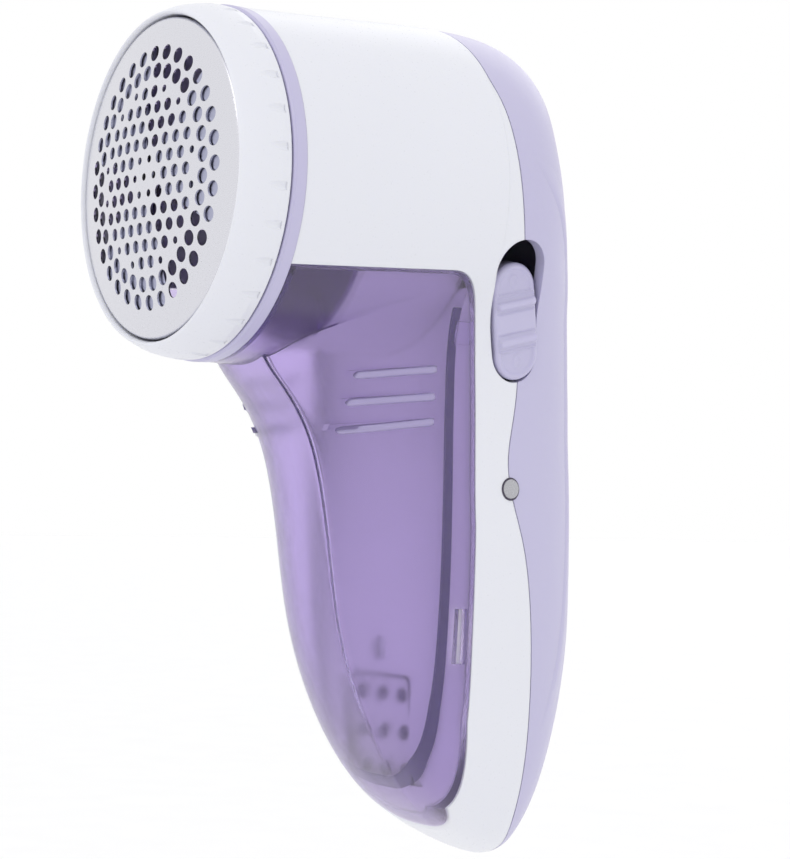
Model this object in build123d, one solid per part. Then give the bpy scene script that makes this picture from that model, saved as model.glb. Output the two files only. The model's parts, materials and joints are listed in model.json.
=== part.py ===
from build123d import *
import math
import os

# Rechargeable fabric shaver, in millimetres.
# X is the width (left-right symmetry), Y runs back from the crown of the foil, Z runs up from the tip of the
# handle.  The round head points along -Y.  save() moves everything so that the origin is the bottom centre
# of the whole object.

# ---- driving dimensions ------------------------------------------------------------------------------
DEPTH = 88.3                 # foil crown to the back of the handle
HEAD_Z = 121.8               # height of the head's axis above the tip
WALL = 2.2                   # white and lilac casings
BIN_WALL = 1.6               # clear lint bin
GAP = 0.25                   # running gap between parts that move
BIN_FLUSH = 0.06             # how far the bin's skin lies below the casing's
SEAM = 0.2                   # parting gap between the two casings

# head, as distances behind the foil's crown and radii about the head's axis
FOIL_R = 28.1
FOIL_BULGE = 0.0034          # the dome is y = bulge * r^2
FOIL_T = 0.3
RING_FRONT = 2.2
RING_BACK = 11.2
RING_R = 31.3
RING_BORE = 28.5
RING_LIP = [(0.7, RING_BORE), (0.0, 29.0), (1.0, 29.7), (2.8, 30.5), (5.2, 31.05), (7.0, RING_R)]
GRIPS = 30                   # finger grooves round the guard ring
GRIP_START = -7.5            # degrees of the first one
GRIP_Y = 8.0
GRIP_LENGTH = 4.4
GRIP_R = 1.0
GRIP_DEPTH = 0.35
COLLAR_FRONT = 11.4
COLLAR_BACK = 13.8
COLLAR_R = 31.5
BARREL_FRONT_R = 31.4
BARREL_BACK = 54.6           # where the cylinder of the head ends and the rounded back starts
BARREL_BACK_R = 33.2
BARREL_ROOM_BACK = 48.5
CHAMBER_R = 26.5             # throat from the cutter into the lint chamber
DRUM_FRONT = 30.0
DRUM_R = 28.0
DRUM_WALL = 1.8
DRUM_BOSS_R = 9.2
PLATE_T = 0.8                # dark plate on the front of the drum
PLATE_BOSS = (9.1, -22.6)    # its round stud: across, height from the head's axis
PARTITION_Y = 51.2           # front face of the inner wall behind the lint bin

# foil hole pattern
HOLE_PITCH = 3.43
SMALL_HOLE = 0.65
LARGE_HOLE = 1.1
RIM_HOLE = 1.35
RIM_HOLES = 32
RIM_CIRCLES = [(18.64, 0.5), (21.84, 0.0)]   # radius, offset in steps

# cutter, motor and drive
CUTTER_R = 24.0
BLADES = 3
BLADE_SPAN = 72.0            # degrees of each blade
BLADE_PHASE = 10.0
BLADE_T = 0.5
SHAFT_R = 1.0
RUNNING = 0.05               # shaft in bush, radial
MOTOR_R = 12.0
MOTOR_FRONT = 34.0
MOTOR_BACK = 62.0
MOTOR_SCREW_X = 7.0

# outer form of the handle: height, half width, front, back
HANDLE_ROWS = [
    (0.8, 6.0, 70.5, 74.5),
    (2.8, 11.0, 66.5, 75.8),
    (5.8, 15.0, 61.5, 77.2),
    (10.8, 18.6, 55.0, 79.6),
    (18.8, 21.3, 48.2, 82.7),
    (29.8, 22.6, 41.8, 86.0),
    (41.8, 23.1, 37.3, 88.0),
    (56.4, 23.5, 34.5, 88.3),
    (69.8, 23.4, 32.0, 88.2),
    (79.4, 23.3, 28.5, 87.9),
    (85.8, 23.5, 24.0, 87.6),
    (89.4, 23.7, 20.8, 87.3),
    (93.8, 24.2, 18.0, 86.9),
    (99.8, 25.7, 17.0, 85.7),
]
# outer form of the head: height from the axis, front (inside the barrel), back
HEAD_ROWS = [
    (-17.0, 22.0, 83.9),
    (-10.0, 28.0, 81.3),
    (0.0, 30.0, 79.3),
    (10.0, 31.0, 77.9),
    (18.0, 33.0, 77.4),
    (25.0, 38.0, 75.4),
    (29.8, 44.0, 71.0),
    (32.3, 50.0, 63.5),
]
TIP_Y = 73.0
SQUARENESS = 2.5             # exponent of the horizontal sections
REAR_SHARE = 0.43            # the widest line lies this far back in a section

# parting line between the white and the lilac casing: distance back, height from the head's axis
PARTING = [(54.7, 21.0), (55.3, 17.0), (56.3, 9.5), (57.2, 1.6), (58.6, -6.5), (61.5, -17.0), (64.3, -28.0),
           (64.6, -35.0), (63.9, -41.0), (62.9, -47.5), (63.6, -53.5), (66.3, -61.6), (68.6, -72.5),
           (69.5, -84.0), (69.5, -99.0), (69.5, -108.0), (70.3, -115.0), (72.6, -121.0)]
# rear edge of the lint bin
BIN_TOP = -15.3
BIN_TOP_SLOPE = 0.038        # the top edge falls towards the front
BIN_EDGE = [(46.0, BIN_TOP), (49.2, -16.3), (51.7, -19.4), (54.2, -29.0), (55.2, -45.0), (55.5, -60.0)]
BIN_FOOT = [(55.5, -95.0), (57.2, -111.0), (64.5, -119.5)]

# details of the lint bin: finger ribs, catch lugs and latch windows on each side
RIB_RISES = [-32.8, -37.6, -42.0]
RIB_Y = 38.4
RIB_LENGTH = 15.5
RIB_WIDTH = 1.1
RIB_TILT = 5.0
RIB_PROUD = 0.55
LUG_Y = (50.6, 53.8)
LUG_Z = (HEAD_Z - 27.3, HEAD_Z - 23.2)
LUG_PROUD = 0.5
LATCH_Y = (52.6, 54.4)
LATCH_Z = (HEAD_Z - 84.2, HEAD_Z - 74.4)

# side switch: slot centre on the casing, its lean and its size
SLOT_CENTRE = (26.0, 61.9, HEAD_Z - 20.9)
SLOT_LEAN = (0.20, -0.23, 0.95)
SLOT_SIZE = (26.5, 11.0)
KNOB_SIZE = (21.6, 9.6)
KNOB_LOW = -2.05             # centre of the knob along the slot when it is off
KNOB_PROUD = 0.3

# charging
JACK_Z = 16.0
JACK_BORE = 1.8
JACK_DEPTH = 11.0
LED_Y = 63.5
LED_Z = HEAD_Z - 52.9
LED_R = 1.8
CELL_R = 7.1
CELL_LENGTH = 50.0
CELL_BOTTOM = 24.0
CELL_Y = 70.5
SCREW_R = 1.4
BACK_SCREWS = [(-14.0, 16.0), (14.0, 16.0), (0.0, -40.5)]   # across, height from the head's axis

# service hatch behind the lint bin
HATCH_HALF = 10.0
HATCH_Z = (15.2, 34.4)
HATCH_DEPTH = (3.0, 0.9)     # how far the hatch lies behind the wall, at its foot and at its top
HATCH_SCREW = -82.5
DOT_PITCH = (6.15, 6.8)


def save(name, shape):
    """Writes one sub-part, moved to the object's own origin."""
    os.makedirs("parts", exist_ok=True)
    export_step(shape.moved(Location((0, -DEPTH / 2, 0))), f"parts/{name}.step")


# ---- outer form --------------------------------------------------------------------------------------
def section(height, half_width, front, back):
    """One horizontal slice of the body: two mirrored halves of a superellipse."""
    centre = max(BARREL_BACK, front + REAR_SHARE * (back - front))
    power = 2 / SQUARENESS
    right = []
    for step in range(13):
        angle = math.radians(90 - 15 * step)
        depth = back - centre if angle > 0 else centre - front
        x = half_width * max(math.cos(angle), 0) ** power
        y = centre + math.copysign(depth * abs(math.sin(angle)) ** power, angle)
        right.append((x, y, height))
    left = [(-x, y, z) for x, y, z in reversed(right)]
    halves = [Spline(*right, tangents=[(1, 0, 0), (-1, 0, 0)]),
              Spline(*left, tangents=[(-1, 0, 0), (1, 0, 0)])]
    return make_face(halves)


def body_form(inset=0.0):
    """The smooth body, from the tip of the handle to the top of the head, drawn in by inset."""
    slices = [Vertex(0, TIP_Y, inset)]
    for height, half_width, front, back in HANDLE_ROWS:
        if half_width > inset + 4 and height > inset + 0.3:
            slices.append(section(height, half_width - inset, front + inset, back - inset))
    radius = BARREL_BACK_R - 0.05
    for rise, front, back in HEAD_ROWS:
        reach = (radius - inset) ** 2 - rise ** 2
        if reach > 36:
            slices.append(section(HEAD_Z + rise, math.sqrt(reach), front + inset, back - inset))
    slices.append(Vertex(0, BARREL_BACK, HEAD_Z + radius - inset))
    return loft(slices)


def about_head(profile):
    """Turns a closed outline of (distance back, radius) points about the head's axis."""
    outline = make_face(Polyline(*[(0, y, r) for y, r in profile], close=True))
    return head_turn(outline)


def head_turn(face):
    return revolve(face, Axis((0, 0, 0), (0, 1, 0)), 360).moved(Location((0, 0, HEAD_Z)))


def barrel(inset=0.0, front=COLLAR_BACK):
    """The cylinder of the head, slightly larger at the back."""
    start = (0, front, BARREL_FRONT_R - inset)
    middle = (0, 36, 32.45 - inset)
    end = (0, BARREL_BACK, BARREL_BACK_R - inset)
    skin = Spline(start, middle, end, tangents=[(0, 1, 0.05), (0, 1, 0)])
    rest = Polyline(end, (0, BARREL_BACK, 0), (0, front, 0), start)
    return head_turn(make_face([skin, rest]))


def barrel_room(inset, front):
    """The hollow of the cylinder. It stops short, where the rounded back takes over."""
    return barrel(inset, front) - slab(60, BARREL_ROOM_BACK, 90, 0, 200)


def head_rod(x, rise, y_from, y_to, radius):
    """A round bar along Y, placed from the head's axis."""
    bar = Cylinder(radius, y_to - y_from, align=(Align.CENTER, Align.CENTER, Align.MIN))
    return bar.moved(Location((x, y_from, HEAD_Z + rise), (-90, 0, 0)))


def slab(x_half, y_from, y_to, z_from, z_to):
    """A box centred on the middle plane."""
    block = Box(2 * x_half, y_to - y_from, z_to - z_from)
    return block.moved(Location((0, (y_from + y_to) / 2, (z_from + z_to) / 2)))


def side_prism(lines, half=60):
    """An outline in the side view (Y, Z), carried through the whole width."""
    face = make_face(lines)
    return extrude(face, half, dir=(1, 0, 0), both=True)


def side_points(points):
    return [(0, y, HEAD_Z + rise) for y, rise in points]


def behind_parting(offset=0.0):
    """Everything behind the parting line."""
    curve = side_points([(y + offset, rise) for y, rise in PARTING])
    top = (0, curve[0][1], 200)
    seam = Spline(*curve, tangents=[(0, 0, -1), (0, 0.35, -1)])
    closing = Polyline(curve[-1], (0, curve[-1][1] + 2, -20), (0, 140, -20), (0, 140, 200), top, curve[0])
    return side_prism([seam, closing])


def bin_zone(front):
    """The part of the body that the lint bin fills, behind a front plane."""
    edge = side_points(BIN_EDGE)
    foot = side_points(BIN_FOOT)
    corner = Spline(*edge)
    top_front = edge[0][2] - BIN_TOP_SLOPE * (edge[0][1] - front)
    rest = Polyline(edge[-1], *foot, (0, foot[-1][1] + 6, -20), (0, front, -20),
                    (0, front, top_front), edge[0])
    return side_prism([corner, rest])


# ---- head: foil, guard ring, collar ------------------------------------------------------------------
def dome(y, radius, steps=8):
    """Points of the foil's curve, from the crown out to a radius, moved back by y."""
    points = [i * radius / steps for i in range(steps + 1)]
    return [(0, y + FOIL_BULGE * r * r, r) for r in points]


def dome_sheet(y, thickness, inner, outer):
    """A sheet parallel to the foil, between two radii."""
    rim = [(0, y + FOIL_BULGE * r * r, r) for r in (inner, (inner + outer) / 2, outer)]
    back = [(0, point[1] + thickness, point[2]) for point in rim]
    lines = [Spline(*rim), Line(rim[-1], back[-1]), Spline(*reversed(back)), Line(back[0], rim[0])]
    return head_turn(make_face(lines))


def hole_places():
    """Every hole of the foil as (x, rise, radius)."""
    places = []
    rings = 5
    for a in range(-rings, rings + 1):
        for b in range(-rings, rings + 1):
            ring = max(abs(a), abs(b), abs(a + b))
            if ring > rings:
                continue
            x = HOLE_PITCH * (a + b / 2)
            rise = HOLE_PITCH * b * math.sqrt(3) / 2
            along = min(abs(a), abs(b), abs(a + b))
            if ring == rings and along == 0:
                continue
            if ring < 2 or (ring == rings and along == 1):
                places.append((x, rise, SMALL_HOLE))
            else:
                places.append((x, rise, LARGE_HOLE))
    for radius, offset in RIM_CIRCLES:
        for i in range(RIM_HOLES):
            angle = 2 * math.pi * (i + offset) / RIM_HOLES
            places.append((radius * math.cos(angle), radius * math.sin(angle), RIM_HOLE))
    return places


def make_foil():
    """Domed steel foil with its turned-back skirt and its pattern of holes."""
    bend = FOIL_R - 0.7
    front = dome(0, bend)
    back = dome(FOIL_T, bend)
    rim_y = front[-1][1]
    lines = [
        Spline(*front),
        ThreePointArc(front[-1], (0, rim_y + 0.28, FOIL_R - 0.18), (0, rim_y + 0.9, FOIL_R)),
        Polyline((0, rim_y + 0.9, FOIL_R), (0, 8.6, FOIL_R), (0, 8.6, FOIL_R - FOIL_T),
                 (0, rim_y + 0.9, FOIL_R - FOIL_T), back[-1]),
        Spline(*reversed(back)),
        Line(back[0], front[0]),
    ]
    sheet = head_turn(make_face(lines))
    drills = [head_rod(x, rise, -2, 9, radius) for x, rise, radius in hole_places()]
    return sheet - drills


def make_guard_ring():
    """White ring round the foil, rounded in front, with finger grooves."""
    lip = [(0, RING_FRONT + back, radius) for back, radius in RING_LIP]
    rest = Polyline(lip[-1], (0, RING_BACK - 0.3, RING_R - 0.1), (0, RING_BACK, RING_R - 0.5),
                    (0, RING_BACK, RING_BORE), lip[0])
    ring = head_turn(make_face([Spline(*lip), rest]))
    reach = RING_R + GRIP_R - GRIP_DEPTH
    groove = Cylinder(GRIP_R, GRIP_LENGTH, rotation=(90, 0, 0)).moved(Location((reach, GRIP_Y, 0)))
    turns = [Location((0, 0, HEAD_Z), (0, -GRIP_START + 360 * i / GRIPS, 0)) for i in range(GRIPS)]
    return ring - [groove.moved(turn) for turn in turns]


def make_foil_clip_ring():
    """Ring that holds the foil's skirt inside the guard ring."""
    inner = CHAMBER_R - 0.5
    return about_head([(5.0, inner), (5.0, FOIL_R - FOIL_T), (8.8, FOIL_R - FOIL_T), (8.8, RING_BORE),
                       (10.4, RING_BORE), (10.4, inner)])


def make_collar_ring():
    """Lilac collar, with the spigot that the guard ring turns on."""
    spigot = CHAMBER_R - 0.7
    edge = 0.4
    return about_head([(COLLAR_FRONT, COLLAR_R - edge), (COLLAR_FRONT + edge, COLLAR_R),
                       (COLLAR_BACK, COLLAR_R), (COLLAR_BACK, 24.6),
                       (6.0, 24.6), (6.0, spigot), (COLLAR_FRONT, spigot)])


# ---- head: cutter and drive --------------------------------------------------------------------------
def cutter_sector(sheet, span, inner, outer):
    """Keeps the sectors of a sheet that the blades or arms cover."""
    kept = []
    for i in range(BLADES):
        middle = BLADE_PHASE + 360 * i / BLADES
        ends = [math.radians(middle + side * span / 2) for side in (-1, 0, 1)]
        far = [(math.cos(a) * outer * 1.4, math.sin(a) * outer * 1.4) for a in ends]
        near = (math.cos(ends[1]) * inner, math.sin(ends[1]) * inner)
        outline = [near] + far
        wedge = make_face(Polyline(*[(x, 0, HEAD_Z + z) for x, z in outline], close=True))
        kept.append(sheet & extrude(wedge, 40, dir=(0, 1, 0), both=True))
    return kept


def make_cutter_blades():
    sheet = dome_sheet(FOIL_T + 0.25, BLADE_T, 3.0, CUTTER_R)
    blades = cutter_sector(sheet, BLADE_SPAN, 0.0, CUTTER_R)
    return Compound(children=[solid for blade in blades for solid in blade.solids()])


def make_blade_carrier():
    """Plastic hub with three arms that back the blades."""
    start = FOIL_T + 0.25 + BLADE_T
    sheet = dome_sheet(start, 1.4, 2.5, CUTTER_R - 1.5)
    arms = cutter_sector(sheet, BLADE_SPAN - 40, 0.0, CUTTER_R)
    hub = head_rod(0, 0, start + 0.1, 16.0, 4.0)
    carrier = hub + arms
    return carrier - head_rod(0, 0, 4.0, 17.0, SHAFT_R)


def make_drive_shaft():
    return head_rod(0, 0, 4.0, MOTOR_BACK + 2.0, SHAFT_R)


def make_drive_collar():
    """Stop pressed on the shaft behind the spring."""
    return head_rod(0, 0, 23.0, 26.0, 3.6) - head_rod(0, 0, 22.0, 27.0, SHAFT_R)


def make_cutter_spring():
    """Coil spring that presses the cutter forward against the foil."""
    wire = 0.3
    coil = Helix(pitch=1.55, height=6.2, radius=2.6)
    spring = sweep(Plane(coil @ 0, z_dir=coil % 0) * Circle(wire), path=coil)
    return spring.moved(Location((0, 16.4, HEAD_Z), (-90, 0, 0)))


def make_motor_bush():
    return head_rod(0, 0, MOTOR_FRONT - 2.0, MOTOR_FRONT, 3.0) - head_rod(0, 0, 30, 36, SHAFT_R + RUNNING)


def make_motor_can():
    can = head_rod(0, 0, MOTOR_FRONT, MOTOR_BACK - 2.0, MOTOR_R)
    hollow = head_rod(0, 0, MOTOR_FRONT + 1.0, MOTOR_BACK, MOTOR_R - 0.9)
    return can - hollow - head_rod(0, 0, 30, 40, 2.0)


def make_motor_magnets():
    """Two magnet shells inside the can."""
    ring = head_rod(0, 0, MOTOR_FRONT + 4, MOTOR_BACK - 6, MOTOR_R - 0.9)
    ring = ring - head_rod(0, 0, MOTOR_FRONT, MOTOR_BACK, MOTOR_R - 2.9)
    return ring - slab(3.0, 30, 70, HEAD_Z - 15, HEAD_Z + 15)


def make_armature():
    """Wound core on the shaft: three lobes and the commutator."""
    core = head_rod(0, 0, MOTOR_FRONT + 5, MOTOR_BACK - 8, 8.6)
    slots = []
    for i in range(3):
        slot = slab(1.1, MOTOR_FRONT, MOTOR_BACK, 4.6, 12).moved(Location((0, 0, 0), (0, 120 * i, 0)))
        slots.append(slot.moved(Location((0, 0, HEAD_Z))))
    commutator = head_rod(0, 0, MOTOR_BACK - 8, MOTOR_BACK - 3.5, 2.6)
    return core - slots + commutator - head_rod(0, 0, 30, 70, SHAFT_R)


def make_motor_end_cap():
    cap = head_rod(0, 0, MOTOR_BACK - 2.0, MOTOR_BACK, MOTOR_R)
    boss = head_rod(0, 0, MOTOR_BACK, MOTOR_BACK + 1.5, 3.2)
    return cap + boss - head_rod(0, 0, 50, 70, SHAFT_R + RUNNING)


def make_motor_terminals():
    blade = Box(0.6, 5.0, 2.4)
    return Compound(children=[blade.moved(Location((x, MOTOR_BACK + 2.5, HEAD_Z))) for x in (-8.0, 8.0)])


def make_motor_drum():
    """White cup behind the cutter: front bulkhead, motor socket and the screw posts."""
    cup = about_head([(DRUM_FRONT, 0), (DRUM_FRONT, DRUM_R - 0.8), (DRUM_FRONT + 0.8, DRUM_R),
                      (PARTITION_Y - GAP, DRUM_R), (PARTITION_Y - GAP, DRUM_R - DRUM_WALL),
                      (DRUM_FRONT + DRUM_WALL, DRUM_R - DRUM_WALL), (DRUM_FRONT + DRUM_WALL, 0)])
    socket = head_rod(0, 0, DRUM_FRONT + DRUM_WALL - 0.1, 42, MOTOR_R + 1.6)
    socket = socket - head_rod(0, 0, DRUM_FRONT + DRUM_WALL - 0.2, 43, MOTOR_R)
    posts = [head_rod(x, 16.0, DRUM_FRONT + 1, 57.0, 3.4) for x in (-14.0, 14.0)]
    holes = [head_rod(x, 16.0, 45.0, 58.0, SCREW_R) for x in (-14.0, 14.0)]
    motor_holes = [head_rod(x, 0, 28, 36, 1.05) for x in (-MOTOR_SCREW_X, MOTOR_SCREW_X)]
    nose = head_rod(0, 0, 28, 40, 3.0)
    boss = head_rod(0, 0, DRUM_FRONT - 1.2, DRUM_FRONT + 0.5, DRUM_BOSS_R)
    return cup + boss + socket + posts - holes - motor_holes - nose


def make_dust_plate():
    """Dark plate in front of the drum that keeps lint off the motor."""
    plate = head_rod(0, 0, DRUM_FRONT - PLATE_T, DRUM_FRONT, DRUM_R - 0.9)
    boss = head_rod(*PLATE_BOSS, DRUM_FRONT - PLATE_T - 1.0, DRUM_FRONT - PLATE_T / 2, 3.6)
    return plate + boss - head_rod(0, 0, 20, 40, DRUM_BOSS_R)


def make_motor_screws():
    """Two screws through the bulkhead into the motor."""
    screws = []
    for x in (-MOTOR_SCREW_X, MOTOR_SCREW_X):
        head = head_rod(x, 0, DRUM_FRONT - 2.2, DRUM_FRONT - 1.2, 1.8)
        shank = head_rod(x, 0, DRUM_FRONT - 1.2, MOTOR_FRONT, 1.0)
        screws += (head + shank).solids()
    return Compound(children=screws)


# ---- casings -----------------------------------------------------------------------------------------
def switch_plane(lift=0.0, travel=0.0):
    """Frame on the slot: local X along the travel, local Z out of the casing."""
    along = Vector(*SLOT_LEAN).normalized()
    outward = (Vector(1, 0, 0) - along * along.X).normalized()
    return Plane(origin=Vector(*SLOT_CENTRE) + outward * lift + along * travel, x_dir=along, z_dir=outward)


def switch_pocket():
    """Slot through the casing for the knob, with room inside for the slider."""
    return extrude(switch_plane(-9) * SlotOverall(*SLOT_SIZE), 30)


def make_front_housing(form, inner):
    """White casing: the cylinder of the head and the side bands of the handle."""
    shell = barrel() + form
    shell = shell - inner - barrel_room(WALL, COLLAR_BACK + WALL)
    shell = shell - head_rod(0, 0, 0, 20, CHAMBER_R)
    bin_room = bin_zone(0).moved(Location((0, GAP, GAP)))
    shell = shell - bin_room - behind_parting() - switch_pocket() - led_hole()
    return largest(shell)


def make_back_shell(form, inner):
    """Lilac casing: back of the head and of the handle, with its screw posts."""
    shell = (form - inner) & behind_parting(SEAM)
    posts = [head_rod(x, rise, 57.2, 90, 3.4) for x, rise in BACK_SCREWS]
    posts = [post & inner for post in posts]
    shell = shell + posts
    for x, rise in BACK_SCREWS:
        shell = shell - head_rod(x, rise, 50, 95, SCREW_R + 0.15) - head_rod(x, rise, 66, 95, 2.8)
    shell = shell - head_rod(0, JACK_Z - HEAD_Z, 60, 95, 4.6)
    return largest(shell - switch_pocket() - led_hole())


def led_hole():
    return Cylinder(LED_R + 0.1, 30, rotation=(0, 90, 0)).moved(Location((20, LED_Y, LED_Z)))


def largest(shape):
    """Drops loose slivers and keeps the main solid."""
    return max(shape.solids(), key=lambda solid: solid.volume)


def make_lint_bin():
    """Clear purple bin: the front of the handle and the underside of the head."""
    form = body_form(BIN_FLUSH)
    hollow = body_form(BIN_WALL)
    shell = (barrel(BIN_FLUSH) + form) & bin_zone(COLLAR_BACK + GAP)
    shell = shell - hollow - barrel_room(BIN_WALL, COLLAR_BACK + GAP + BIN_WALL)
    shell = shell - head_rod(0, 0, 0, 20, CHAMBER_R)
    skin = body_form(-RIB_PROUD)
    ribs = []
    for rise in RIB_RISES:
        bar = Box(80, RIB_LENGTH, RIB_WIDTH, rotation=(RIB_TILT, 0, 0))
        ribs.append((bar.moved(Location((0, RIB_Y, HEAD_Z + rise))) & skin) - form)
    lug = (slab(40, LUG_Y[0], LUG_Y[1], *LUG_Z) & hollow) - body_form(BIN_WALL + LUG_PROUD)
    lug = lug & bin_zone(COLLAR_BACK + GAP)
    return largest((shell + ribs + lug) - slab(60, *LATCH_Y, *LATCH_Z))


def make_partition(liner, liner_inner):
    """White inner wall that closes the handle behind the lint bin."""
    top = HEAD_Z - 17.0
    plate = liner & slab(40, PARTITION_Y, 59.0, 4, top)
    plate = plate - (liner_inner & slab(40, PARTITION_Y + 1.6, 60, 0, top - 1.6))
    plate = plate - slab(HATCH_HALF + 0.3, 40, 57, HATCH_Z[0] - 0.3, HATCH_Z[1] + 0.3)
    post = head_rod(0, -40.5, PARTITION_Y + 1, 57.0, 3.4) - head_rod(0, -40.5, 53.2, 60, SCREW_R)
    hatch_post = head_rod(0, HATCH_SCREW, PARTITION_Y + 1, 59.0, 3.0)
    screw_hole = head_rod(0, HATCH_SCREW, 50, 60, 1.2) + head_rod(0, HATCH_SCREW, 50, PARTITION_Y + 2.2, 2.3)
    switch_room = extrude(switch_plane(-12) * Rectangle(SLOT_SIZE[0] + 4, SLOT_SIZE[1] + 2), 30)
    return largest(plate + post + hatch_post - screw_hole - switch_room)


def make_hatch():
    """Service hatch with nine raised grip dots."""
    y_low, y_top = [PARTITION_Y + depth for depth in HATCH_DEPTH]
    outline = Polyline((0, y_top, HATCH_Z[1]), (0, y_low, HATCH_Z[0]), (0, y_low + 1.6, HATCH_Z[0]),
                       (0, y_top + 1.6, HATCH_Z[1]), close=True)
    plate = extrude(make_face(outline), HATCH_HALF, dir=(1, 0, 0), both=True)
    dots = []
    for column in (-1, 0, 1):
        for row in (-1, 0, 1):
            z = sum(HATCH_Z) / 2 - 0.6 + DOT_PITCH[1] * row
            share = (HATCH_Z[1] - z) / (HATCH_Z[1] - HATCH_Z[0])
            y = y_top + (y_low - y_top) * share
            dots.append(Sphere(1.5).moved(Location((DOT_PITCH[0] * column, y + 0.7, z))))
    return plate + dots


def make_hatch_screw():
    head = head_rod(0, HATCH_SCREW, PARTITION_Y + 0.9, PARTITION_Y + 2.2, 2.1)
    return head + head_rod(0, HATCH_SCREW, PARTITION_Y + 2.2, 58.0, 1.2)


def make_housing_screws():
    screws = []
    for x, rise in BACK_SCREWS:
        screw = head_rod(x, rise, 66.0, 68.2, 2.6) + head_rod(x, rise, 54.0, 66.0, SCREW_R)
        screws += screw.solids()
    return Compound(children=screws)


# ---- switch ------------------------------------------------------------------------------------------
def make_switch_knob():
    """Finger knob with two raised bars."""
    top = extrude(switch_plane(-3.4, KNOB_LOW) * SlotOverall(*KNOB_SIZE), 3.4 + KNOB_PROUD)
    top = fillet(top.faces().sort_by(Axis.X)[-1].edges(), 0.7)
    bar = Rectangle(1.5, KNOB_SIZE[1] - 1.4)
    bars = [extrude(switch_plane(KNOB_PROUD - 0.2, KNOB_LOW + shift) * bar, 0.9) for shift in (-3.4, 3.4)]
    return top + bars


def make_switch_slider():
    """Plate under the slot and the peg that works the switch."""
    plate = extrude(switch_plane(-4.6, KNOB_LOW) * Rectangle(12.0, 8.0), 1.2)
    peg = extrude(switch_plane(-7.4, KNOB_LOW) * Rectangle(3.0, 3.0), 2.9)
    return plate + peg


def make_switch_body():
    """Slide switch under the slot."""
    body = extrude(switch_plane(-11.5, -1.5) * Rectangle(16.0, 7.0), 5.0)
    window = extrude(switch_plane(-7.6, -0.2) * Rectangle(8.8, 3.4), 3)
    return body - window


def make_switch_terminals():
    pins = [extrude(switch_plane(-14.5, -1.5 + shift) * Rectangle(1.0, 1.8), 3.0)
            for shift in (-5.0, 0.0, 5.0)]
    return Compound(children=[solid for pin in pins for solid in pin.solids()])


# ---- charging and power ------------------------------------------------------------------------------
def make_battery_cells():
    cells = []
    for x in (-CELL_R - 0.3, CELL_R + 0.3):
        cell = Cylinder(CELL_R, CELL_LENGTH, align=(Align.CENTER, Align.CENTER, Align.MIN))
        tip = Cylinder(2.6, 1.2, align=(Align.CENTER, Align.CENTER, Align.MIN))
        tip = tip.moved(Location((0, 0, CELL_LENGTH)))
        cells += (cell + tip).moved(Location((x, CELL_Y, CELL_BOTTOM))).solids()
    return Compound(children=cells)


def make_battery_contacts():
    low = Box(22, 9, 0.5).moved(Location((0, CELL_Y, CELL_BOTTOM - 0.25)))
    high = [Box(9, 9, 0.5).moved(Location((x, CELL_Y, CELL_BOTTOM + CELL_LENGTH + 1.45)))
            for x in (-CELL_R - 0.3, CELL_R + 0.3)]
    return Compound(children=low.solids() + high[0].solids() + high[1].solids())


def make_battery_cradle():
    """Tray that holds both cells and their contacts."""
    low = CELL_BOTTOM - 0.5
    high = CELL_BOTTOM + CELL_LENGTH + 1.7
    back = slab(14.0, CELL_Y - CELL_R - 1.6, CELL_Y - CELL_R - 0.2, low - 1.4, high + 1.4)
    foot = slab(13.0, CELL_Y - CELL_R - 0.3, CELL_Y + 3, low - 1.4, low)
    cap = slab(14.0, CELL_Y - CELL_R - 0.3, CELL_Y + 4, high, high + 1.4)
    return back + foot + cap


def make_circuit_board():
    return slab(13.0, 57.6, 59.0, 44.0, 76.0) - head_rod(0, HATCH_SCREW, 50, 60, 3.6)


def make_board_parts():
    """Charging chip, rectifier and capacitor on the board."""
    chip = Box(7, 1.6, 5).moved(Location((0, 59.8, 62)))
    diode = Box(5, 1.4, 2.6).moved(Location((7.5, 59.7, 54)))
    capacitor = Cylinder(1.3, 4.4).moved(Location((-8, 60.3, 50)))
    return Compound(children=chip.solids() + diode.solids() + capacitor.solids())


def make_led_lens():
    lens = Cylinder(LED_R, 4.2, rotation=(0, 90, 0)).moved(Location((21.2, LED_Y, LED_Z)))
    crown = Sphere(3.2).moved(Location((20.8, LED_Y, LED_Z)))
    lens = lens & crown
    flange = Cylinder(LED_R + 0.9, 0.8, rotation=(0, 90, 0)).moved(Location((20.0, LED_Y, LED_Z)))
    return lens + flange


def make_charge_led():
    body = Cylinder(1.2, 3.6, rotation=(0, 90, 0)).moved(Location((16.4, LED_Y, LED_Z)))
    return body + Cylinder(1.6, 0.8, rotation=(0, 90, 0)).moved(Location((15.0, LED_Y, LED_Z)))


def make_charge_jack():
    """Round charging socket, open at the back of the handle."""
    rise = JACK_Z - HEAD_Z
    body = head_rod(0, rise, 66.0, 80.6, 4.4)
    return body - head_rod(0, rise, 80.6 - JACK_DEPTH, 95, JACK_BORE)


def make_jack_contacts():
    rise = JACK_Z - HEAD_Z
    pins = [head_rod(x, rise, 62.5, 66.0, 0.5) for x in (-2.6, 2.6)]
    return Compound(children=[solid for pin in pins for solid in pin.solids()])


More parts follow.
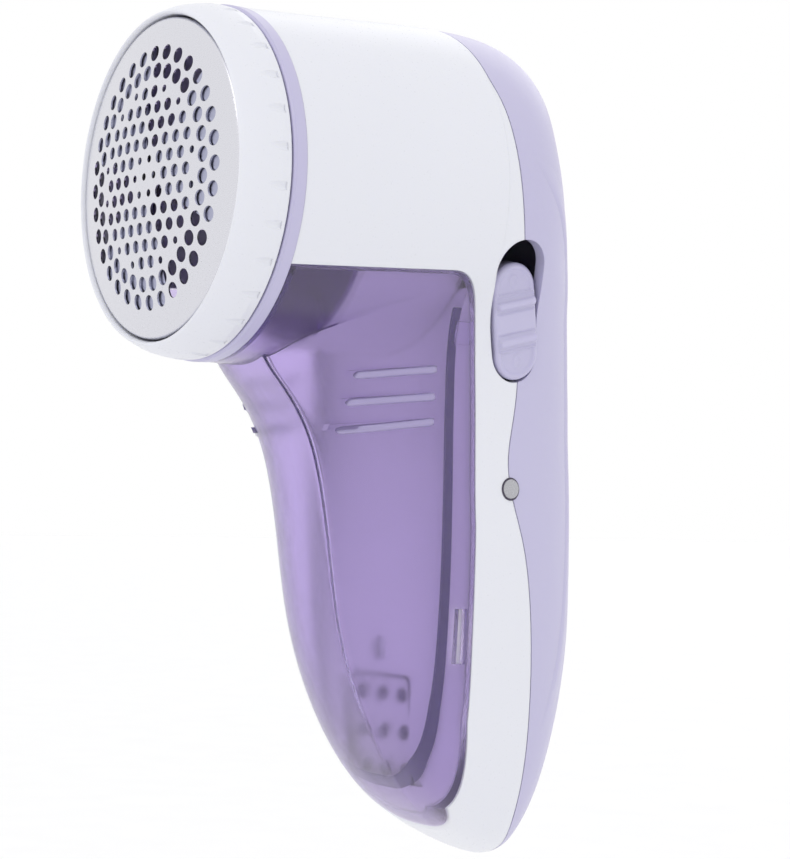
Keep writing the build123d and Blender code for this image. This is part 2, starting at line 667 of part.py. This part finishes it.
def main():
    form = body_form()
    inner = body_form(WALL)
    liner = body_form(BIN_WALL + 0.8)
    liner_inner = body_form(BIN_WALL + 2.2)
    parts = {
        "foil": make_foil(),
        "guard_ring": make_guard_ring(),
        "foil_clip_ring": make_foil_clip_ring(),
        "collar_ring": make_collar_ring(),
        "cutter_blades": make_cutter_blades(),
        "blade_carrier": make_blade_carrier(),
        "cutter_spring": make_cutter_spring(),
        "drive_shaft": make_drive_shaft(),
        "drive_collar": make_drive_collar(),
        "armature": make_armature(),
        "motor_bush": make_motor_bush(),
        "motor_can": make_motor_can(),
        "motor_magnets": make_motor_magnets(),
        "motor_end_cap": make_motor_end_cap(),
        "motor_terminals": make_motor_terminals(),
        "motor_drum": make_motor_drum(),
        "dust_plate": make_dust_plate(),
        "motor_screws": make_motor_screws(),
        "front_housing": make_front_housing(form, inner),
        "back_shell": make_back_shell(form, inner),
        "lint_bin": make_lint_bin(),
        "partition": make_partition(liner, liner_inner),
        "service_hatch": make_hatch(),
        "hatch_screw": make_hatch_screw(),
        "housing_screws": make_housing_screws(),
        "switch_knob": make_switch_knob(),
        "switch_slider": make_switch_slider(),
        "switch_body": make_switch_body(),
        "switch_terminals": make_switch_terminals(),
        "battery_cells": make_battery_cells(),
        "battery_contacts": make_battery_contacts(),
        "battery_cradle": make_battery_cradle(),
        "circuit_board": make_circuit_board(),
        "board_parts": make_board_parts(),
        "led_lens": make_led_lens(),
        "charge_led": make_charge_led(),
        "charge_jack": make_charge_jack(),
        "jack_contacts": make_jack_contacts(),
    }
    for name, shape in parts.items():
        save(name, shape)


main()
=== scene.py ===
import json
import math

import bmesh
import bpy
from mathutils import Matrix, Vector
from mathutils.bvhtree import BVHTree


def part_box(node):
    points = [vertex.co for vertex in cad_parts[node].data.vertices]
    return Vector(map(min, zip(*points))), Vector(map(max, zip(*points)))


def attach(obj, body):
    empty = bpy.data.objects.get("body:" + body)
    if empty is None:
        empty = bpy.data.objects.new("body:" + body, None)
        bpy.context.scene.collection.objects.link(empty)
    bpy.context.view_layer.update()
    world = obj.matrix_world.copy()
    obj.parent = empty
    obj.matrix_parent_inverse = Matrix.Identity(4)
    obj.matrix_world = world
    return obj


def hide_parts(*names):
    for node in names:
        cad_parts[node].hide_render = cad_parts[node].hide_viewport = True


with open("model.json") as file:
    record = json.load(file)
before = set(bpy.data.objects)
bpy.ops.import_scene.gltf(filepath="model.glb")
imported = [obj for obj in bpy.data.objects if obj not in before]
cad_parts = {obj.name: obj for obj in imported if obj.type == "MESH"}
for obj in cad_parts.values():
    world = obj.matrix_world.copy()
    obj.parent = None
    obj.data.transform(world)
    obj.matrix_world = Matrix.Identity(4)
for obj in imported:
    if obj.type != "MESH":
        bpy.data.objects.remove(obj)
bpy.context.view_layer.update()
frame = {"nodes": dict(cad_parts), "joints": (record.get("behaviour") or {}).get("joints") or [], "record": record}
nodes = frame["nodes"]

MM = 0.001

# ---- viewpoint ---------------------------------------------------------------------------------------
# The camera is placed from the crown of the foil: how far the crown lies in front of it, and to the left
# and above the middle of its view.
AZIMUTH = 55.58
ELEVATION = -2.16
ROLL = 1.04
LENS = 90.47
SENSOR = 36.0
CROWN_AHEAD = 375.19 * MM
CROWN_LEFT = 43.64 * MM
CROWN_ABOVE = 43.89 * MM


def crown_of_foil():
    low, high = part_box("foil")
    return Vector(((low.x + high.x) / 2, low.y, (low.z + high.z) / 2))


CROWN = crown_of_foil()


def add_camera():
    azimuth, elevation, roll = (math.radians(a) for a in (AZIMUTH, ELEVATION, ROLL))
    ahead = Vector((-math.sin(azimuth) * math.cos(elevation), math.cos(azimuth) * math.cos(elevation),
                    -math.sin(elevation)))
    level = Vector((math.cos(azimuth), math.sin(azimuth), 0))
    upright = level.cross(ahead)
    right = level * math.cos(roll) + upright * math.sin(roll)
    up = upright * math.cos(roll) - level * math.sin(roll)
    data = bpy.data.cameras.new("camera")
    data.lens = LENS
    data.sensor_width = SENSOR
    data.clip_start = 0.01
    camera = bpy.data.objects.new("camera", data)
    bpy.context.scene.collection.objects.link(camera)
    place = CROWN - ahead * CROWN_AHEAD + right * CROWN_LEFT - up * CROWN_ABOVE
    turn = Matrix((right, up, -ahead)).transposed()
    camera.matrix_world = Matrix.Translation(place) @ turn.to_4x4()
    bpy.context.scene.camera = camera


# ---- studio ------------------------------------------------------------------------------------------
FLOOR_Z = -0.125


def add_world():
    world = bpy.data.worlds.new("studio")
    world.use_nodes = True
    background = world.node_tree.nodes["Background"]
    background.inputs["Color"].default_value = (1, 1, 1, 1)
    background.inputs["Strength"].default_value = 1.0
    bpy.context.scene.world = world
    bpy.context.scene.view_settings.view_transform = "Standard"


def add_sun(name, azimuth, elevation, strength, spread):
    """A broad soft light from one side: azimuth and elevation say where it stands, spread how large it is."""
    data = bpy.data.lights.new(name, "SUN")
    data.energy = strength
    data.angle = math.radians(spread)
    light = bpy.data.objects.new(name, data)
    turn, rise = math.radians(azimuth), math.radians(elevation)
    place = Vector((math.sin(turn) * math.cos(rise), -math.cos(turn) * math.cos(rise), math.sin(rise)))
    light.location = place
    light.rotation_euler = place.to_track_quat("Z", "Y").to_euler()
    bpy.context.scene.collection.objects.link(light)


def add_floor():
    """Pale floor, low enough for the lint bin to slide off above it."""
    mesh = bpy.data.meshes.new("floor")
    reach = 12.0
    corners = [(-reach, -reach), (reach, -reach), (reach, reach), (-reach, reach)]
    mesh.from_pydata([(x, y, FLOOR_Z) for x, y in corners], [], [(0, 1, 2, 3)])
    floor = bpy.data.objects.new("floor", mesh)
    bpy.context.scene.collection.objects.link(floor)
    material = Shader("floor_paper", (0.92, 0.92, 0.925), 0.75)
    material.grain(400.0, 0.1, 0.0)
    mesh.materials.append(material.material)


# ---- materials ---------------------------------------------------------------------------------------
class Shader:
    """A Principled material with a few helpers for grain, bump and rounded edges."""

    def __init__(self, name, colour, roughness, metallic=0.0):
        self.material = bpy.data.materials.new(name)
        self.material.use_nodes = True
        self.tree = self.material.node_tree
        self.principled = self.tree.nodes["Principled BSDF"]
        self.colour = colour
        self.roughness = roughness
        self.set("Base Color", (*colour, 1))
        self.set("Roughness", roughness)
        self.set("Metallic", metallic)

    def set(self, socket, value):
        self.principled.inputs[socket].default_value = value

    def node(self, kind, **values):
        made = self.tree.nodes.new(kind)
        for key, value in values.items():
            setattr(made, key, value)
        return made

    def link(self, source, target):
        self.tree.links.new(source, target)

    def places(self, stretch=(1, 1, 1)):
        """Object coordinates, stretched along the axes."""
        source = self.node("ShaderNodeTexCoord")
        mapping = self.node("ShaderNodeMapping")
        mapping.inputs["Scale"].default_value = stretch
        self.link(source.outputs["Object"], mapping.inputs["Vector"])
        return mapping.outputs["Vector"]

    def noise(self, scale, detail=2.0, stretch=(1, 1, 1)):
        noise = self.node("ShaderNodeTexNoise")
        noise.inputs["Scale"].default_value = scale
        noise.inputs["Detail"].default_value = detail
        self.link(self.places(stretch), noise.inputs["Vector"])
        return noise.outputs["Fac"]

    def span(self, source, low, high, start=0.3, end=0.7):
        """Maps a factor to a range."""
        spread = self.node("ShaderNodeMapRange")
        for socket, value in (("From Min", start), ("From Max", end), ("To Min", low), ("To Max", high)):
            spread.inputs[socket].default_value = value
        self.link(source, spread.inputs["Value"])
        return spread.outputs["Result"]

    def shade(self, source, amount):
        """Lets the base colour vary by the given share."""
        ramp = self.node("ShaderNodeMix", data_type="RGBA")
        dark = tuple(c * (1 - amount) for c in self.colour)
        light = tuple(min(1, c * (1 + amount)) for c in self.colour)
        ramp.inputs[6].default_value = (*dark, 1)
        ramp.inputs[7].default_value = (*light, 1)
        self.link(source, ramp.inputs[0])
        self.link(ramp.outputs[2], self.principled.inputs["Base Color"])

    def bump(self, source, height, edge=0.0):
        """Fine relief, and edges that look rounded by the given radius."""
        bump = self.node("ShaderNodeBump")
        bump.inputs["Distance"].default_value = height
        bump.inputs["Strength"].default_value = 1.0
        self.link(source, bump.inputs["Height"])
        if edge:
            bevel = self.node("ShaderNodeBevel", samples=4)
            bevel.inputs["Radius"].default_value = edge
            self.link(bevel.outputs["Normal"], bump.inputs["Normal"])
        self.link(bump.outputs["Normal"], self.principled.inputs["Normal"])

    def grain(self, scale, spread, height, edge=0.0, stretch=(1, 1, 1)):
        """Slight unevenness of gloss, tone and surface."""
        fine = self.noise(scale, 3.0, stretch)
        self.link(self.span(fine, self.roughness - spread / 2, self.roughness + spread / 2),
                  self.principled.inputs["Roughness"])
        self.shade(self.noise(30.0, 2.0), 0.015)
        if height or edge:
            self.bump(fine, height, edge)


def white_plastic():
    shader = Shader("white_plastic", (0.77, 0.78, 0.84), 0.30)
    shader.set("Subsurface Weight", 0.08)
    shader.set("Subsurface Radius", (0.6, 0.6, 0.8))
    shader.set("Subsurface Scale", 1.5 * MM)
    shader.grain(2600.0, 0.06, 0.004 * MM, 0.25 * MM)
    return shader


def painted_light_white():
    """White plastic of the walls behind the lint bin, painted brighter than the other white: painted light for the
    light that comes through the bin.
    """
    shader = Shader("painted_light_white", (0.93, 0.92, 0.95), 0.4)
    shader.grain(2600.0, 0.06, 0.004 * MM, 0.25 * MM)
    return shader


def lilac_plastic():
    shader = Shader("lilac_plastic", (0.53, 0.505, 0.70), 0.33)
    shader.set("Subsurface Weight", 0.08)
    shader.set("Subsurface Radius", (0.6, 0.5, 0.9))
    shader.set("Subsurface Scale", 1.5 * MM)
    shader.grain(2600.0, 0.06, 0.004 * MM, 0.25 * MM)
    return shader


def clear_purple():
    shader = Shader("clear_purple", (0.86, 0.77, 0.98), 0.2)
    shader.set("Transmission Weight", 0.96)
    shader.set("Specular IOR Level", 0.3)
    shader.set("IOR", 1.45)
    shader.grain(900.0, 0.05, 0.003 * MM)
    absorption = shader.node("ShaderNodeVolumeAbsorption")
    absorption.inputs["Color"].default_value = (0.26, 0.08, 0.80, 1)
    absorption.inputs["Density"].default_value = 95.0
    shader.link(absorption.outputs["Volume"], shader.tree.nodes["Material Output"].inputs["Volume"])
    return shader


def rib_plastic():
    """The bin's plastic where it stands proud, so thick that little shows through."""
    shader = Shader("rib_plastic", (0.48, 0.42, 0.70), 0.22)
    shader.set("Transmission Weight", 0.3)
    shader.set("Coat Weight", 0.5)
    shader.set("Coat Roughness", 0.08)
    shader.grain(900.0, 0.05, 0.003 * MM)
    return shader


def lip_plastic():
    """The bin's plastic seen edge on."""
    shader = Shader("lip_plastic", (0.04, 0.01, 0.17), 0.25)
    shader.grain(900.0, 0.05, 0.003 * MM)
    return shader


def stud_dark_and_shade():
    """Dark grey-violet of the hatch's feet, partly painted shade of the domes, and of the joint round the hatch,
    painted shadow.
    """
    shader = Shader("stud_dark_and_shade", (0.12, 0.09, 0.20), 0.5)
    shader.grain(1800.0, 0.1, 0.004 * MM)
    return shader


def foil_steel():
    shader = Shader("foil_steel", (0.70, 0.70, 0.75), 0.24, 1.0)
    shader.grain(1500.0, 0.12, 0.002 * MM, 0.0, (1, 1, 6))
    return shader


def blade_steel():
    shader = Shader("blade_steel", (0.42, 0.43, 0.56), 0.34, 1.0)
    shader.grain(1800.0, 0.12, 0.003 * MM, 0.0, (8, 1, 1))
    return shader


def dark_plastic():
    shader = Shader("dark_plastic", (0.045, 0.035, 0.065), 0.5)
    shader.grain(1800.0, 0.1, 0.006 * MM, 0.2 * MM)
    return shader


def violet_painted_shade():
    """Dark plastic with a violet cast, behind the bin's throat and in the switch slot: partly its own colour,
    partly painted shade of these cavities.
    """
    shader = Shader("violet_painted_shade", (0.13, 0.06, 0.28), 0.5)
    shader.grain(1800.0, 0.1, 0.006 * MM, 0.2 * MM)
    return shader


def plated_steel():
    shader = Shader("plated_steel", (0.62, 0.63, 0.66), 0.3, 1.0)
    shader.grain(900.0, 0.2, 0.004 * MM, 0.15 * MM)
    return shader


def copper_winding():
    shader = Shader("copper_winding", (0.62, 0.30, 0.15), 0.35, 1.0)
    wave = shader.node("ShaderNodeTexWave", wave_type="BANDS", bands_direction="Y")
    wave.inputs["Scale"].default_value = 500.0
    shader.link(shader.places(), wave.inputs["Vector"])
    shader.shade(wave.outputs["Fac"], 0.35)
    shader.bump(wave.outputs["Fac"], 0.1 * MM)
    return shader


def brass_contact():
    shader = Shader("brass_contact", (0.78, 0.62, 0.32), 0.3, 1.0)
    shader.grain(900.0, 0.15, 0.003 * MM, 0.1 * MM)
    return shader


def cell_sleeve():
    shader = Shader("cell_sleeve", (0.06, 0.27, 0.17), 0.35)
    shader.grain(260.0, 0.12, 0.02 * MM)
    return shader


def board_green():
    shader = Shader("board_green", (0.03, 0.20, 0.09), 0.4)
    brick = shader.node("ShaderNodeTexBrick")
    brick.inputs["Scale"].default_value = 260.0
    brick.inputs["Color1"].default_value = (0.03, 0.20, 0.09, 1)
    brick.inputs["Color2"].default_value = (0.04, 0.26, 0.12, 1)
    brick.inputs["Mortar"].default_value = (0.10, 0.34, 0.16, 1)
    shader.link(shader.places(), brick.inputs["Vector"])
    shader.link(brick.outputs["Color"], shader.principled.inputs["Base Color"])
    shader.bump(brick.outputs["Fac"], 0.02 * MM)
    return shader


def lens_grey():
    shader = Shader("lens_grey", (0.62, 0.62, 0.66), 0.25)
    shader.set("Transmission Weight", 0.3)
    shader.grain(2000.0, 0.1, 0.006 * MM, 0.2 * MM)
    return shader


def ferrite():
    shader = Shader("ferrite", (0.10, 0.095, 0.095), 0.7)
    shader.grain(1500.0, 0.15, 0.02 * MM, 0.1 * MM)
    return shader


MAKERS = [white_plastic, lilac_plastic, clear_purple, foil_steel, blade_steel, dark_plastic, plated_steel,
          copper_winding, brass_contact, cell_sleeve, board_green, lens_grey, ferrite]


def finish_nodes(materials):
    """Every CAD node gets the material of its slot, or its own variant of it painted lighter or darker for light
    and shade.
    """
    # The walls behind the bin take a white painted brighter, as painted light; the dust plate and switch slider
    # take a dark violet that is partly painted shade.
    inner, violet = painted_light_white().material, violet_painted_shade().material
    own = {"partition": inner, "service_hatch": inner, "motor_drum": inner,
           "dust_plate": violet, "switch_slider": violet}
    for part in frame["record"]["subparts"]:
        for slot in nodes[part["node"]].material_slots:
            slot.material = own.get(part["node"], materials[part["material_slot"]])


# ---- working with the frame's surfaces ---------------------------------------------------------------
def surface(*names):
    """A search tree over some CAD nodes."""
    points, faces = [], []
    for name in names:
        mesh = nodes[name].data
        start = len(points)
        points += [vertex.co.copy() for vertex in mesh.vertices]
        faces += [[start + i for i in face.vertices] for face in mesh.polygons]
    return BVHTree.FromPolygons(points, faces)


def add_piece(name, points, faces, body, material, smooth=True):
    """A mesh object that rides on a body."""
    mesh = bpy.data.meshes.new(name)
    mesh.from_pydata([tuple(point) for point in points], [], faces)
    shape = bmesh.new()
    shape.from_mesh(mesh)
    bmesh.ops.recalc_face_normals(shape, faces=shape.faces)
    shape.to_mesh(mesh)
    shape.free()
    mesh.polygons.foreach_set("use_smooth", [smooth] * len(mesh.polygons))
    mesh.materials.append(material)
    piece = bpy.data.objects.new(name, mesh)
    bpy.context.scene.collection.objects.link(piece)
    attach(piece, body)
    return piece


def grid_faces(rows, columns, closed=False):
    """Quads between rows of points; closed joins the last column to the first."""
    faces = []
    for i in range(rows - 1):
        for j in range(columns if closed else columns - 1):
            k = (j + 1) % columns
            faces.append((i * columns + j, i * columns + k, (i + 1) * columns + k, (i + 1) * columns + j))
    return faces


def curve_points(controls, count):
    """Even steps along a smooth line through a few side-view points (distance back, height)."""
    curve = bpy.data.curves.new("guide", "CURVE")
    spline = curve.splines.new("NURBS")
    spline.points.add(len(controls) - 1)
    for point, (y, z) in zip(spline.points, controls):
        point.co = (0, y, z, 1)
    spline.order_u = 3
    spline.use_endpoint_u = True
    spline.resolution_u = 24
    guide = bpy.data.objects.new("guide", curve)
    path = [vertex.co.copy() for vertex in bpy.data.meshes.new_from_object(guide).vertices]
    bpy.data.objects.remove(guide)
    lengths = [0.0]
    for a, b in zip(path, path[1:]):
        lengths.append(lengths[-1] + (b - a).length)
    steps, found = [], 0
    for i in range(count):
        goal = lengths[-1] * i / (count - 1)
        while found < len(path) - 2 and lengths[found + 1] < goal:
            found += 1
        share = (goal - lengths[found]) / max(lengths[found + 1] - lengths[found], 1e-9)
        steps.append(path[found].lerp(path[found + 1], share))
    return steps


# ---- lint bin details --------------------------------------------------------------------------------
RIB_ENDS = [((31.7, -33.7), (46.5, -32.1)), ((31.6, -38.4), (46.5, -36.9)), ((32.0, -43.2), (46.5, -41.3))]
RIB_RADIUS = 0.75
LIP_BACK = [(-125.0, 57.5), (-114.0, 55.6), (-108.0, 53.6), (-101.6, 52.2), (-92.0, 51.6), (-50.0, 51.4),
            (-37.0, 51.2), (-20.0, 50.6)]
LIP_WIDTH = 1.5
LIP_DEPTH = 0.6
LIP_TURN = 14.0
LIP_TOP = -20.8


def side_point(y, rise):
    """Row-frame Y and Z of a point given behind the foil's crown and above the head's axis, in mm."""
    return CROWN.y + y * MM, CROWN.z + rise * MM


def add_ribs(material):
    """Three rounded finger ribs on each side of the bin."""
    skin = surface("lint_bin")
    steps, around = 25, 12
    for side in (-1, 1):
        for number, (front, back) in enumerate(RIB_ENDS):
            points = []
            for i in range(steps):
                share = 0.5 - 0.5 * math.cos(math.pi * i / (steps - 1))
                y, z = side_point(*(a + (b - a) * share for a, b in zip(front, back)))
                hit = skin.ray_cast(Vector((side * 0.06, y, z)), Vector((-side, 0, 0)))[0]
                end = min(share, 1 - share) * (back[0] - front[0])
                radius = RIB_RADIUS * MM * math.sqrt(max(1 - (1 - min(end / RIB_RADIUS, 1)) ** 2, 0.0004))
                centre = hit - Vector((side * 0.42 * MM, 0, 0))
                for j in range(around):
                    turn = 2 * math.pi * j / around
                    points.append(centre + Vector((math.cos(turn), 0, math.sin(turn))) * radius)
            faces = grid_faces(steps, around, closed=True)
            faces += [tuple(range(around)), tuple(range((steps - 1) * around, steps * around))]
            name = f"bin_rib_{'right' if side > 0 else 'left'}_{number + 1}"
            add_piece(name, points, faces, "bin", material)


def lip_back(z):
    """Row-frame Y of the lip's rear edge at a height."""
    rise = (z - CROWN.z) / MM
    for (low, near), (high, far) in zip(LIP_BACK, LIP_BACK[1:]):
        if rise <= high:
            share = max(rise - low, 0) / (high - low)
            return side_point(near + (far - near) * share, 0)[0]
    return side_point(LIP_BACK[-1][1], 0)[0]


def add_lip(material):
    """Dark lip that runs round the inside of the bin, where it meets the inner wall."""
    wall = surface("lint_bin")
    outline = [(LIP_WIDTH, 0.05), (0, 0.05), (0, LIP_DEPTH), (LIP_WIDTH, LIP_DEPTH)]
    top = side_point(0, LIP_TOP)[1]
    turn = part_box("lint_bin")[0].z + LIP_TURN * MM
    side, bend = 80, 48
    rays = [(top + (turn - top) * i / side, 0) for i in range(side)]
    rays += [(turn, -180 * i / bend) for i in range(bend + 1)]
    rays += [(turn + (top - turn) * (i + 1) / side, -180) for i in range(side)]
    points = []
    for z, angle in rays:
        ahead = Vector((math.cos(math.radians(angle)), 0, math.sin(math.radians(angle))))
        back = lip_back(z)
        for _ in range(3):
            hit = wall.ray_cast(Vector((0, back, z)), ahead)[0]
            back = lip_back(hit.z)
        for forward, depth in outline:
            hit = wall.ray_cast(Vector((0, back - forward * MM, z)), ahead)[0]
            points.append(hit - ahead * depth * MM)
    count = len(outline)
    faces = grid_faces(len(rays), count, closed=True)
    faces += [tuple(range(count)), tuple(range(len(points) - count, len(points)))]
    add_piece("bin_lip", points, faces, "bin", material, smooth=False)


# ---- service hatch details ---------------------------------------------------------------------------
STUD_PITCH = (6.15, 6.8)
STUD_RADIUS = 1.4
STUD_HEIGHT = 0.82
STUD_BEHIND = 0.7
STUD_SHIFT = -0.6
JOINT_SHADOW_WIDTH = 0.5


def add_studs(material):
    """Nine small domed feet on the hatch."""
    skin = surface("service_hatch", "partition")
    low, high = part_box("service_hatch")
    middle = (low.z + high.z) / 2 + STUD_SHIFT * MM
    rings, around = 6, 24
    for row in (-1, 0, 1):
        for column in (-1, 0, 1):
            x, z = column * STUD_PITCH[0] * MM, middle + row * STUD_PITCH[1] * MM
            foot = skin.ray_cast(Vector((x, -0.05, z)), Vector((0, 1, 0)))[0]
            points = []
            for i in range(rings):
                lean = math.pi / 2 * i / rings
                for j in range(around):
                    turn = 2 * math.pi * j / around
                    reach = STUD_RADIUS * MM * math.cos(lean)
                    back = (STUD_BEHIND - STUD_HEIGHT * math.sin(lean)) * MM
                    points.append(foot + Vector((math.cos(turn) * reach, back, math.sin(turn) * reach)))
            faces = grid_faces(rings, around, closed=True)
            faces += [tuple(range(around)), tuple(range((rings - 1) * around, rings * around))]
            add_piece(f"hatch_stud_{row + 2}_{column + 2}", points, faces, "casing", material)


def add_hatch_joint_shadow(material):
    """Thin dark ring in the joint round the hatch: painted shadow of the gap."""
    skin = surface("partition")
    low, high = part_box("service_hatch")
    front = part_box("partition")[0].y
    corner, steps, tube = 1.6 * MM, 10, 8
    half, middle = (high.x - low.x) / 2, (high.z + low.z) / 2
    tall = (high.z - low.z) / 2
    path = []
    for quarter in range(4):
        for i in range(steps + 1):
            turn = math.pi / 2 * (quarter + i / steps)
            side = (1 if quarter in (0, 3) else -1, 1 if quarter in (0, 1) else -1)
            path.append(Vector((side[0] * (half - corner) + corner * math.cos(turn), 0,
                                middle + side[1] * (tall - corner) + corner * math.sin(turn))))
    points = []
    for place in path:
        hit = skin.find_nearest(Vector((place.x, front, place.z)))[0]
        out = Vector((place.x, 0, place.z - middle)).normalized()
        for j in range(tube):
            bend = 2 * math.pi * j / tube
            points.append(Vector((place.x, hit.y, place.z)) + (out * math.cos(bend) + Vector((0, 1, 0))
                          * math.sin(bend)) * JOINT_SHADOW_WIDTH / 2 * MM)
    faces = grid_faces(len(path), tube, closed=True)
    last = (len(path) - 1) * tube
    faces += [(last + j, last + (j + 1) % tube, (j + 1) % tube, j) for j in range(tube)]
    add_piece("hatch_joint_shadow", points, faces, "casing", material)


# ---- crease of the lilac shell -----------------------------------------------------------------------
CREASE = [(57.6, 8.0), (66.0, 1.5), (76.0, -13.0), (81.4, -30.0), (81.0, -65.0), (77.6, -90.0),
          (70.8, -100.0)]
CREASE_PROFILE = [(-0.9, -0.10), (-0.45, 0.0), (-0.15, 0.14), (0.2, 0.30), (0.7, 0.34), (1.4, 0.30),
                  (2.4, 0.21), (3.6, 0.10), (5.0, -0.10)]


def add_crease(material):
    """A soft step along each side of the lilac shell, fading into the surface behind it."""
    skin = surface("back_shell")
    count = 110
    line = curve_points([side_point(y, rise) for y, rise in CREASE], count)
    for side in (-1, 1):
        points = []
        for i, place in enumerate(line):
            before, after = line[max(i - 1, 0)], line[min(i + 1, count - 1)]
            hit, normal, _, _ = skin.ray_cast(Vector((side * 0.06, place.y, place.z)), Vector((-side, 0, 0)))
            along = (after - before).normalized()
            across = normal.cross(along).normalized()
            if across.y < 0:
                across = -across
            fade = min(1.0, i / 14, (count - 1 - i) / 14)
            for shift, height in CREASE_PROFILE:
                near, outward, _, _ = skin.find_nearest(hit + across * shift * MM)
                if outward.dot(normal) < 0:
                    outward = normal
                lift = height * fade - 0.12 * (1 - fade)
                points.append(near + outward * lift * MM)
        name = f"crease_{'right' if side > 0 else 'left'}"
        faces = grid_faces(count, len(CREASE_PROFILE))
        add_piece(name, points, faces, "casing", material)


# ---- painted shadow ring round the charge light ------------------------------------------------------
LENS_FACE = 0.6


def add_lens_gap_shadow(material):
    """Dark ring in the gap round the small round lens: painted shadow of the gap."""
    low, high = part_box("led_lens")
    centre = (low + high) / 2
    lens = [vertex.co for vertex in nodes["led_lens"].data.vertices]
    face = [point.z for point in lens if point.x > high.x - LENS_FACE * MM]
    radius = (max(face) - min(face)) / 2 + 0.1 * MM
    skin = surface("front_housing", "back_shell")
    around, tube, thick = 64, 10, 0.2 * MM
    points = []
    for i in range(around):
        turn = 2 * math.pi * i / around
        spoke = Vector((0, math.cos(turn), math.sin(turn)))
        outer = centre + spoke * (radius + 0.3 * MM)
        hit = skin.find_nearest(Vector((high.x, outer.y, outer.z)))[0]
        middle = Vector((hit.x, centre.y, centre.z)) + spoke * radius
        for j in range(tube):
            bend = 2 * math.pi * j / tube
            points.append(middle + (spoke * math.cos(bend) + Vector((1, 0, 0)) * math.sin(bend)) * thick)
    faces = grid_faces(around, tube, closed=True)
    faces += [((around - 1) * tube + j, (around - 1) * tube + (j + 1) % tube, (j + 1) % tube, j)
              for j in range(tube)]
    add_piece("lens_gap_shadow", points, faces, "casing", material)


# ---- switch knob -------------------------------------------------------------------------------------
def switch_axes():
    """Along the slide, outwards and across it."""
    joint = next(j for j in frame["joints"] if j["name"] == "switch_slide")
    along = Vector(joint["axis"]).normalized()
    out = (Vector((1, 0, 0)) - along * along.x).normalized()
    return along, out, out.cross(along)


def smooth_step(value, start, end):
    share = min(max((value - start) / (end - start), 0.0), 1.0)
    return share * share * (3 - 2 * share)


def ridge(distance, half_width):
    """A rounded bar's height, from 1 on its middle line to 0 at its edge."""
    return math.sqrt(max(1 - (distance / half_width) ** 2, 0))


def knob_height(u, v, half_length, half_width):
    """Relief of the knob's face, in mm."""
    straight = half_length - half_width
    beyond = max(abs(u) - straight, 0)
    edge = half_width - math.hypot(beyond, v)
    corner = 0.9
    height = -(corner - math.sqrt(max(corner ** 2 - (corner - min(edge, corner)) ** 2, 0)))
    pad = 1 - smooth_step(abs(u), 5.0, 5.5)
    height += 0.10 * pad
    height -= 0.45 * (1 - pad) * smooth_step(edge, 0.75, 1.5)
    inside = smooth_step(edge, 0.3, 0.8)
    height += 0.80 * ridge(abs(u) - 3.4, 0.8) * inside
    height -= 0.35 * ridge(abs(u) - 4.8, 0.32) * inside
    height -= 0.28 * ridge(abs(u) - 2.1, 0.26) * inside
    height += 0.16 * ridge(math.hypot((abs(u) - 7.3) / 1.4, v) - 0.8, 0.22)
    return height


def add_knob(material):
    """Finger knob: a raised pad with two bars between two dished ends."""
    along, out, across = switch_axes()
    cad = [vertex.co for vertex in nodes["switch_knob"].data.vertices]
    spans = [(min(p.dot(a) for p in cad), max(p.dot(a) for p in cad)) for a in (along, out, across)]
    half_length = (spans[0][1] - spans[0][0]) / 2 / MM
    half_width = (spans[2][1] - spans[2][0]) / 2 / MM
    top = spans[1][1] - 0.9 * MM
    centre = along * sum(spans[0]) / 2 + across * sum(spans[2]) / 2 + out * top
    rows, columns = 151, 61
    points = []
    for i in range(rows):
        share = -math.cos(math.pi * i / (rows - 1))
        u = half_length * (0.35 * share + 0.65 * (2 * i / (rows - 1) - 1))
        beyond = max(abs(u) - (half_length - half_width), 0)
        reach = math.sqrt(max(half_width ** 2 - beyond ** 2, 0.0009))
        for j in range(columns):
            v = -reach * math.cos(math.pi * j / (columns - 1))
            height = knob_height(u, v, half_length, half_width)
            points.append(centre + (along * u + across * v + out * height) * MM)
    faces = grid_faces(rows, columns)
    rim = [i * columns for i in range(rows)] + [(rows - 1) * columns + j for j in range(1, columns)]
    rim += [i * columns + columns - 1 for i in range(rows - 2, -1, -1)] + list(range(columns - 2, 0, -1))
    depth = top - spans[1][0] - 0.9 * MM
    start = len(points)
    points += [points[k] - out * depth for k in rim]
    count = len(rim)
    for k in range(count):
        after = (k + 1) % count
        faces.append((rim[k], rim[after], start + after, start + k))
    faces.append(tuple(start + k for k in range(count)))
    knob = add_piece("finger_knob", points, faces, "switch", material)
    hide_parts("switch_knob")


# ---- scene -------------------------------------------------------------------------------------------
add_camera()
add_world()
add_floor()
add_sun("key", 25, 42, 0.25, 35)
add_sun("rim", 215, 35, 0.15, 35)
materials = {maker.__name__: maker().material for maker in MAKERS}
finish_nodes(materials)
add_ribs(rib_plastic().material)
add_lip(lip_plastic().material)
add_crease(materials["lilac_plastic"])
# Dark studs on the hatch, their darkness partly painted shade.
stud_and_shade = stud_dark_and_shade().material
add_studs(stud_and_shade)
# Dark ring in the joint round the hatch: painted shadow of the gap.
add_hatch_joint_shadow(stud_and_shade)
# Dark plastic ring round the lens: painted shadow of the gap.
add_lens_gap_shadow(materials["dark_plastic"])
add_knob(materials["lilac_plastic"])
